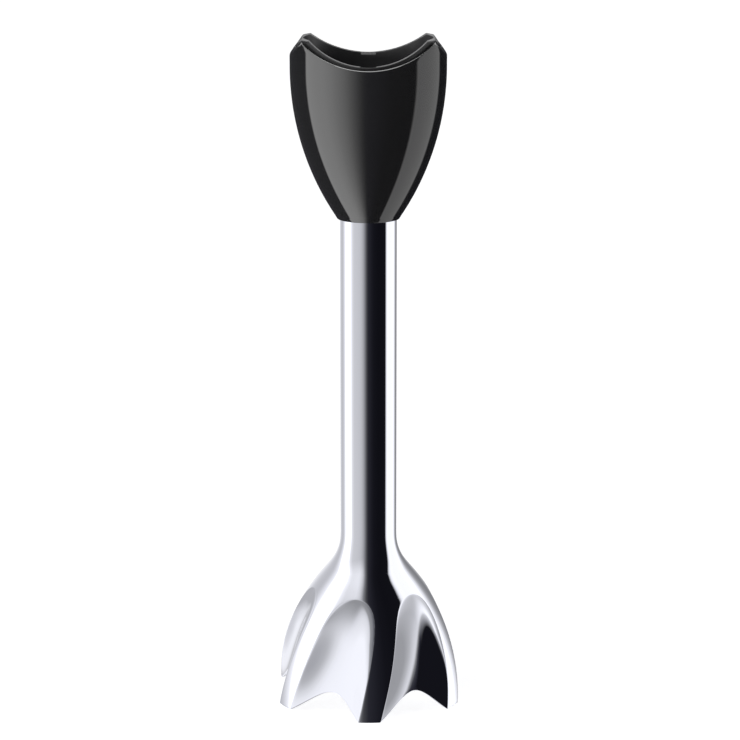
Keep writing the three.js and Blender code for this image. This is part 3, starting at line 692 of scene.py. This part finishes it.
def build_liner(material):
    """The socket insert. Its columns, as (azimuth, cut), stand closer together in the two key recesses."""
    half_notch = math.degrees(math.asin(NOTCH_WIDTH / 2 / LIP_R))
    azimuths = []
    for centre in (0, 180):
        azimuths += [(centre - half_notch, False), (centre - half_notch, True)]
        azimuths += [(centre + t, True) for t in np.linspace(-half_notch, half_notch, 9)[1:-1]]
        azimuths += [(centre + half_notch, True), (centre + half_notch, False)]
        azimuths += [(centre + t, False) for t in np.linspace(half_notch, 180 - half_notch, 222)[1:-1]]
    rows = []

    def row(r, z_of, drop=0.0):
        """One ring. In the two key recesses it lies lower by drop, measured at the inner edge."""
        lower = drop * (LIP_R - r) / (LIP_R - SOCKET_R)
        rows.append([tuple(map(float, polar(r, a, z_of(a) - (lower if cut else 0)))) for a, cut in azimuths])

    def edge(r):
        return lambda a: float(saddle_height(r * math.sin(math.radians(a)), LIP_LOW, LIP_ARC))

    for r, z in ((LINER_NECK_R, LINER_UNDER), (16.6, LINER_UNDER), (16.6, 197)):
        row(r, lambda a, z=z: z)
    for z in np.linspace(200, 221, 12):
        row(min(float(shell_inside(z)) - 0.4, LIP_R), lambda a, z=z: z)
    row(LIP_R, lambda a: 227.0)
    row(LIP_R, lambda a: edge(LIP_R)(a) - 0.5, NOTCH_DEPTH)
    for inward, down in ((0, 0.3), (0.04, 0.16), (0.14, 0.05), (0.3, 0.0)):
        row(LIP_R - inward, lambda a, i=inward, d=down: edge(LIP_R - i)(a) - d, NOTCH_DEPTH)
    for r in np.linspace(LIP_R - 0.8, SOCKET_R + 0.4, 3):
        row(r, edge(r), NOTCH_DEPTH)
    for inward, down in ((0.3, 0.0), (0.14, 0.05), (0.04, 0.16), (0.0, 0.3)):
        row(SOCKET_R + inward, lambda a, i=inward, d=down: edge(SOCKET_R + i)(a) - d, NOTCH_DEPTH)
    row(SOCKET_R, lambda a: 226.5)
    for r, z in ((SOCKET_R, 216.4), (SOCKET_R - 0.15, 215.9), (19.95, 212.3), (19.8, 211.8),
                 (19.6, SOCKET_FLOOR + 0.6), (19.4, SOCKET_FLOOR + 0.1), (19.0, SOCKET_FLOOR),
                 (LINER_HUB_R + 0.4, SOCKET_FLOOR), (LINER_HUB_R, SOCKET_FLOOR - 0.3),
                 (LINER_HUB_R, LINER_LEDGE), (LINER_NECK_R, LINER_LEDGE)):
        row(r, lambda a, z=z: z)
    verts = [p for line in rows for p in line]
    faces = grid_faces(len(rows), len(azimuths), True, True)
    liner = build("socket_liner_skin", verts, faces, material, "housing", ["socket_liner"], "satin_black",
                  sharp=30)
    cut_pockets(liner, [(side * (SOCKET_R + CATCH_DEPTH), 0, CATCH_Z) for side in (-1, 1)], CATCH)
    return liner


def cut_pockets(piece, centres, size):
    """Cut a box of the given size out of a piece at each centre, in millimetres."""
    corners = [(x, y, z) for x in (-0.5, 0.5) for y in (-0.5, 0.5) for z in (-0.5, 0.5)]
    sides = [(0, 1, 3, 2), (4, 6, 7, 5), (0, 4, 5, 1), (2, 3, 7, 6), (0, 2, 6, 4), (1, 5, 7, 3)]
    verts, faces = [], []
    for centre in centres:
        faces += [tuple(len(verts) + i for i in side) for side in sides]
        verts += [tuple((c + k * s) * MM for c, k, s in zip(centre, corner, size)) for corner in corners]
    mesh = bpy.data.meshes.new("pocket")
    mesh.from_pydata(verts, [], faces)
    tool = bpy.data.objects.new("pocket", mesh)
    bpy.context.scene.collection.objects.link(tool)
    carve = piece.modifiers.new("pockets", "BOOLEAN")
    carve.operation, carve.object, carve.solver = "DIFFERENCE", tool, "EXACT"
    carved = bpy.data.meshes.new_from_object(piece.evaluated_get(bpy.context.evaluated_depsgraph_get()))
    piece.modifiers.clear()
    piece.data = carved
    carved.set_sharp_from_angle(angle=math.radians(30))
    bpy.data.objects.remove(tool)
    bpy.data.meshes.remove(mesh)


# ---- Driving dog and its spring ------------------------------------------------------------------
def build_dog(material):
    """Six-lobed star on a round collar, bored for the shaft and slotted for the cross pin."""
    round_part = [(0, DOG_BORE_TOP), (DOG_BORE_R, DOG_BORE_TOP), (DOG_BORE_R, DOG_BOTTOM + 0.3),
                  (DOG_BORE_R + 0.3, DOG_BOTTOM), (DOG_R - 0.25, DOG_BOTTOM), (DOG_R, DOG_BOTTOM + 0.25),
                  (DOG_R, DOG_COLLAR_TOP - 0.6), (DOG_R - 0.18, DOG_COLLAR_TOP - 0.2),
                  (DOG_R - 0.6, DOG_COLLAR_TOP)]
    star_part = [(0.25, DOG_COLLAR_TOP), (0.07, DOG_COLLAR_TOP + 0.07), (0, DOG_COLLAR_TOP + 0.25),
                 (0, DOG_TOP - 0.5), (-0.06, DOG_TOP - 0.25), (-0.2, DOG_TOP - 0.08), (-0.45, DOG_TOP)]
    columns = np.linspace(0, 360, 216, endpoint=False)
    star = STAR_R + STAR_SWING * np.cos(STAR_LOBES * np.radians(90 - columns))
    rows = [(r + 0 * star, z) for r, z in round_part]
    rows += [(star + outward, z) for outward, z in star_part]
    rows += [(0.5 * star, DOG_TOP), (0 * star, DOG_TOP)]
    verts = [tuple(map(float, polar(r, a, z))) for line, z in rows for r, a in zip(line, columns)]
    dog = build("drive_dog_skin", verts, grid_faces(len(rows), len(columns), True), material, "dog",
                ["drive_dog"], "grey_plastic", sharp=40)
    cut_pockets(dog, [(0, 0, DOG_SLOT_Z)], DOG_SLOT)
    return dog


def build_spring(material):
    """Compression spring under the dog, built at one fixed length on a mesh of its own."""
    sides, steps = 12, 64 * SPRING_TURNS
    verts = []
    for i in range(steps + 1):
        turn = 2 * math.pi * SPRING_TURNS * i / steps
        height = SPRING_LOW + (SPRING_HIGH - SPRING_LOW) * i / steps
        for j in range(sides):
            around = 2 * math.pi * j / sides
            r = SPRING_R + WIRE_R * math.cos(around)
            verts.append((r * math.cos(turn), r * math.sin(turn), height + WIRE_R * math.sin(around)))
    faces = grid_faces(steps + 1, sides, True)
    faces += [tuple(range(sides)), tuple(range(steps * sides, (steps + 1) * sides))]
    spring = build("dog_spring_skin", verts, faces, material, "drive_line", ["dog_spring"], "plain_steel")
    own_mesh(spring)
    return spring


# ---- Assembly ------------------------------------------------------------------------------------
make_camera()
make_world()
make_floor()
finishes = make_finishes()
slots = {part["node"]: part["material_slot"] for part in frame["record"]["subparts"]}
for node, piece in NODES.items():
    piece.data.materials.clear()
    piece.data.materials.append(finishes[slots[node]])
    piece.data.polygons.foreach_set("use_smooth", [True] * len(piece.data.polygons))
    piece.data.set_sharp_from_angle(angle=math.radians(35))
bell, flutes = build_bell(finishes["polished_steel"])
shell = build_shell(finishes["gloss_black"])
liner = build_liner(finishes["satin_black"])
moving = [build_dog(finishes["grey_plastic"]), build_spring(finishes["plain_steel"])]

body_pieces = [bell] + moving + [piece for piece in NODES.values() if not piece.hide_render]
make_panels("body", body_pieces)
make_panels("coupling", [shell, liner])
make_band("shoulder_glow", body_pieces, [(-110, 0), (-95, 0.3), (-35, 0.3), (-24, 0.2), (-14, 0)],
          [(30, 0), (50, 0.6), (60, 1), (70, 1)])
make_band("scoop_glow", [flutes], [(62, 0), (70, 0.42), (112, 0.40), (125, 0)],
          [(9, 0), (14, 0.35), (21, 1), (60, 1)])
for piece, backdrop, ceiling in ((shell, 1.25, 4.0), (liner, 1.0, 2.0)):
    make_card(f"backdrop_{piece.name}", backdrop, (9.0, 2.1), (0, 2.5, 1.55), -90, [piece])
    make_card(f"ceiling_{piece.name}", ceiling, (3.0, 3.0), (0, 0, 2.6), 0, [piece])
make_panels("flutes_high", [flutes])
make_panels("flutes", [flutes], over="flutes_high")

bpy.context.scene.view_settings.view_transform = "Standard"
bpy.context.scene.view_settings.look = "None"
